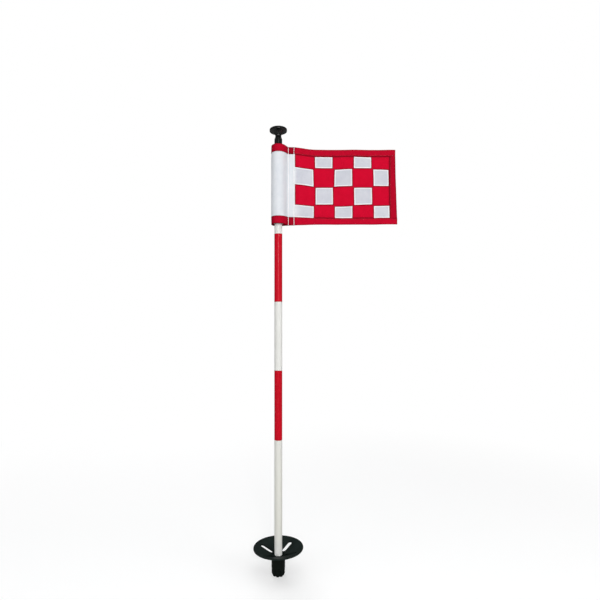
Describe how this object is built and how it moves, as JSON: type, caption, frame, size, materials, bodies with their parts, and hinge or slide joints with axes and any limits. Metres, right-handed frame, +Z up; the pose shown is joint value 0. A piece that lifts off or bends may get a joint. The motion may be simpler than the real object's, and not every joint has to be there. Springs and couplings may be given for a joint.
{
  "type": "golf flagstick",
  "caption": "Take-down practice-green flagstick: white tube with red bands, checkered flag on a turning tube, mushroom knob, dished ball-lifting disc and fluted ferrule.",
  "frame": {"origin": "pole axis at the underside of the ferrule", "axes": "+Z up the pole, +X the way the flag flies at rest"},
  "size_m": [0.2984, 0.1024, 0.9144],
  "materials": {
    "black_plastic": "injection moulded polypropylene, fine satin texture",
    "white_plastic": "moulded, glossy",
    "pole_white": "smooth gloss white coating on drawn tube",
    "band_red": "red gloss film wrapped on the pole",
    "steel": "zinc plated, turned",
    "aluminium": "turned",
    "brass": "turned",
    "washer_nylon": "natural nylon",
    "tube_plastic": "extruded white tube",
    "nylon_white": "woven nylon flag cloth",
    "nylon_red": "woven nylon flag cloth",
    "thread_white": "polyester sewing thread"
  },
  "bodies": {
    "lower_section": {"ferrule": "black_plastic", "ferrule_plug": "black_plastic", "ferrule_screw": "steel", "ferrule_washer": "steel", "lift_disc": "black_plastic", "pole_end_plug": "white_plastic", "plug_insert": "brass", "lower_pole": "pole_white", "lower_joint_socket": "aluminium"},
    "lower_washer": {"lower_joint_washer": "washer_nylon"},
    "middle_section": {"lower_joint_stud": "steel", "middle_pole": "pole_white", "red_band_lower": "band_red", "upper_joint_socket": "aluminium"},
    "upper_washer": {"upper_joint_washer": "washer_nylon"},
    "upper_section": {"upper_joint_stud": "steel", "upper_pole": "pole_white", "red_band_upper": "band_red", "pole_top_insert": "aluminium"},
    "knob_ring": {"knob_washer": "washer_nylon"},
    "knob": {"top_knob": "black_plastic", "knob_stud": "steel"},
    "flag_tube": {"flag_tube": "tube_plastic", "tube_cap": "tube_plastic", "tube_bush": "washer_nylon", "flag_sleeve": "nylon_white", "sleeve_hem_top": "nylon_red", "sleeve_hem_bottom": "nylon_red"},
    "flag_cloth": {"flag_ground": "nylon_red", "flag_hoist_strip": "nylon_white", "flag_squares": "nylon_white", "flag_hem_top": "nylon_red", "flag_hem_bottom": "nylon_red", "flag_hem_fly": "nylon_red", "hoist_stitches": "thread_white"}
  },
  "joints": [
    {"name": "lower_joint_rise", "type": "slide", "parent": "lower_section", "child": "lower_washer", "axis": [0, 0, 1], "range_m": [0, 0.015]},
    {"name": "lower_joint_turn", "type": "hinge", "parent": "lower_washer", "child": "middle_section", "pos_m": [0, 0, 0.276], "axis": [0, 0, 1], "range_deg": [0, 3600.1]},
    {"name": "upper_joint_rise", "type": "slide", "parent": "middle_section", "child": "upper_washer", "axis": [0, 0, 1], "range_m": [0, 0.015]},
    {"name": "upper_joint_turn", "type": "hinge", "parent": "upper_washer", "child": "upper_section", "pos_m": [0, 0, 0.5592], "axis": [0, 0, 1], "range_deg": [0, 3600.1]},
    {"name": "knob_rise", "type": "slide", "parent": "upper_section", "child": "knob_ring", "axis": [0, 0, 1], "range_m": [0, 0.0125]},
    {"name": "knob_turn", "type": "hinge", "parent": "knob_ring", "child": "knob", "pos_m": [0, 0, 0.88], "axis": [0, 0, 1], "range_deg": [0, 3600.1]},
    {"name": "flag_swivel", "type": "hinge", "parent": "upper_section", "child": "flag_tube", "pos_m": [0, 0, 0.8], "axis": [0, 0, 1], "continuous": true},
    {"name": "flag_fold", "type": "hinge", "parent": "flag_tube", "child": "flag_cloth", "pos_m": [0.0212, 0.0085, 0.8], "axis": [0, 0, 1], "range_deg": [-80, 80]}
  ],
  "couplings": [
    {"joint": "lower_joint_turn", "follows": "lower_joint_rise", "rad_per_m": 4188.8},
    {"joint": "upper_joint_turn", "follows": "upper_joint_rise", "rad_per_m": 4188.8},
    {"joint": "knob_turn", "follows": "knob_rise", "rad_per_m": 5026.5}
  ]
}
